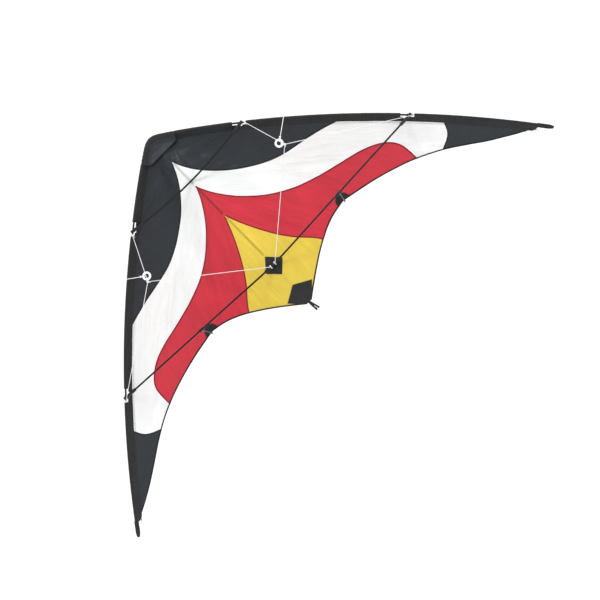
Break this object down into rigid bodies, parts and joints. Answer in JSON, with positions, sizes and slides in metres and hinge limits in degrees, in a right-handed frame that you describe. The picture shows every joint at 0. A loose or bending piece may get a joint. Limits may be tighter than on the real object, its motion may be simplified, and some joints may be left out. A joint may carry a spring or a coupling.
{
  "type": "delta sport kite",
  "caption": "Delta sport kite with a panelled sail, a rod frame with spreaders and standoffs, and a three-leg bridle with a tow ring on each wing.",
  "frame": {"origin": "centre cross, where the spine and the lower spreaders meet, in the plane of the sail's spine line", "axes": "+Z along the spine to the nose, +X to the right wing tip, -Y towards the flyer, the side with the bridle"},
  "size_m": [1.6016, 0.3901, 0.7539],
  "materials": {
    "black_ripstop": "satin woven",
    "white_ripstop": "satin woven",
    "red_ripstop": "satin woven",
    "yellow_ripstop": "satin woven",
    "sleeve_cloth": "matte woven",
    "patch_cloth": "matte woven",
    "seam_tape": "matte woven",
    "webbing": "ribbed",
    "bridle_line": "braided",
    "flying_line": "braided",
    "fibreglass": "satin pultruded",
    "standoff_glass": "satin pultruded",
    "vinyl": "soft satin",
    "moulded_cap": "moulded",
    "ring_plastic": "polished moulded",
    "ferrule": "drawn tube"
  },
  "bodies": {
    "centre": {"spine_rod": "fibreglass", "spine_seam": "seam_tape", "nose_patch": "webbing", "centre_tee": "vinyl", "centre_patch": "patch_cloth", "tail_patch": "patch_cloth", "spine_end_cap": "vinyl", "tail_strap": "webbing", "centre_bridle_loops": "bridle_line"},
    "right_wing": {"right_nose_panel": "black_ripstop", "right_white_panel": "white_ripstop", "right_red_panel": "red_ripstop", "right_yellow_panel": "yellow_ripstop", "right_tip_panel": "black_ripstop", "right_trailing_edge_hem": "seam_tape", "right_leading_edge_sleeve": "sleeve_cloth", "right_upper_leading_edge_rod": "fibreglass", "right_lower_leading_edge_rod": "fibreglass", "right_leading_edge_ferrule": "ferrule", "right_upper_connector": "vinyl", "right_lower_connector": "vinyl", "right_tip_nock": "moulded_cap", "right_tip_loop": "webbing", "right_standoff_patch": "patch_cloth", "right_upper_bridle_leg": "bridle_line", "right_outer_bridle_leg": "bridle_line", "right_centre_bridle_leg": "bridle_line", "right_bridle_knots": "bridle_line"},
    "right_spreader": {"right_lower_spreader": "fibreglass"},
    "right_standoff": {"right_standoff_clip": "moulded_cap", "right_standoff_rod": "standoff_glass", "right_standoff_cap": "vinyl"},
    "right_ring": {"right_tow_ring": "ring_plastic", "right_flying_line_end": "flying_line"},
    "left_wing": {"left_nose_panel": "black_ripstop", "left_white_panel": "white_ripstop", "left_red_panel": "red_ripstop", "left_yellow_panel": "yellow_ripstop", "left_tip_panel": "black_ripstop", "left_trailing_edge_hem": "seam_tape", "left_leading_edge_sleeve": "sleeve_cloth", "left_upper_leading_edge_rod": "fibreglass", "left_lower_leading_edge_rod": "fibreglass", "left_leading_edge_ferrule": "ferrule", "left_upper_connector": "vinyl", "left_lower_connector": "vinyl", "left_tip_nock": "moulded_cap", "left_tip_loop": "webbing", "left_standoff_patch": "patch_cloth", "left_upper_bridle_leg": "bridle_line", "left_outer_bridle_leg": "bridle_line", "left_centre_bridle_leg": "bridle_line", "left_bridle_knots": "bridle_line", "upper_spreader": "fibreglass"},
    "left_spreader": {"left_lower_spreader": "fibreglass"},
    "left_standoff": {"left_standoff_clip": "moulded_cap", "left_standoff_rod": "standoff_glass", "left_standoff_cap": "vinyl"},
    "left_ring": {"left_tow_ring": "ring_plastic", "left_flying_line_end": "flying_line"}
  },
  "joints": [
    {"name": "right_wing_fold", "type": "hinge", "parent": "centre", "child": "right_wing", "pos_m": [0, 0.0043, 0], "axis": [0, 0, 1], "range_deg": [0, 50], "deforming": ["nose_patch", "centre_patch", "tail_patch", "right_centre_bridle_leg"]},
    {"name": "right_spreader_swing", "type": "hinge", "parent": "right_wing", "child": "right_spreader", "pos_m": [0.54304, 0.0243, 0.03218], "axis": [0, -1, 0], "range_deg": [0, 82], "deforming": ["right_lower_connector"]},
    {"name": "right_standoff_fold", "type": "hinge", "parent": "right_spreader", "child": "right_standoff", "pos_m": [0.262, 0.00758, 0.01552], "axis": [-0.9965, -0.0593, -0.0591], "range_deg": [0, 95]},
    {"name": "right_tow_ring_swing", "type": "hinge", "parent": "right_wing", "child": "right_ring", "pos_m": [0.24, -0.25, 0.158], "axis": [-0.5501, 0, 0.8351], "range_deg": [-35, 35]},
    {"name": "left_wing_fold", "type": "hinge", "parent": "centre", "child": "left_wing", "pos_m": [0, 0.0043, 0], "axis": [0, 0, -1], "range_deg": [0, 50], "deforming": ["left_centre_bridle_leg"]},
    {"name": "left_spreader_swing", "type": "hinge", "parent": "left_wing", "child": "left_spreader", "pos_m": [-0.54304, 0.0243, 0.03218], "axis": [0, 1, 0], "range_deg": [0, 82], "deforming": ["left_lower_connector"]},
    {"name": "left_standoff_fold", "type": "hinge", "parent": "left_spreader", "child": "left_standoff", "pos_m": [-0.262, 0.00758, 0.01552], "axis": [-0.9965, 0.0593, 0.0591], "range_deg": [0, 95]},
    {"name": "left_tow_ring_swing", "type": "hinge", "parent": "left_wing", "child": "left_ring", "pos_m": [-0.24, -0.25, 0.158], "axis": [-0.5501, 0, -0.8351], "range_deg": [-35, 35]}
  ],
  "couplings": [
    {"joint": "left_wing_fold", "follows": "right_wing_fold", "ratio": 1},
    {"joint": "right_spreader_swing", "follows": "right_wing_fold", "ratio": 1.64},
    {"joint": "right_standoff_fold", "follows": "right_wing_fold", "ratio": 1.9},
    {"joint": "left_spreader_swing", "follows": "right_wing_fold", "ratio": 1.64},
    {"joint": "left_standoff_fold", "follows": "right_wing_fold", "ratio": 1.9}
  ]
}
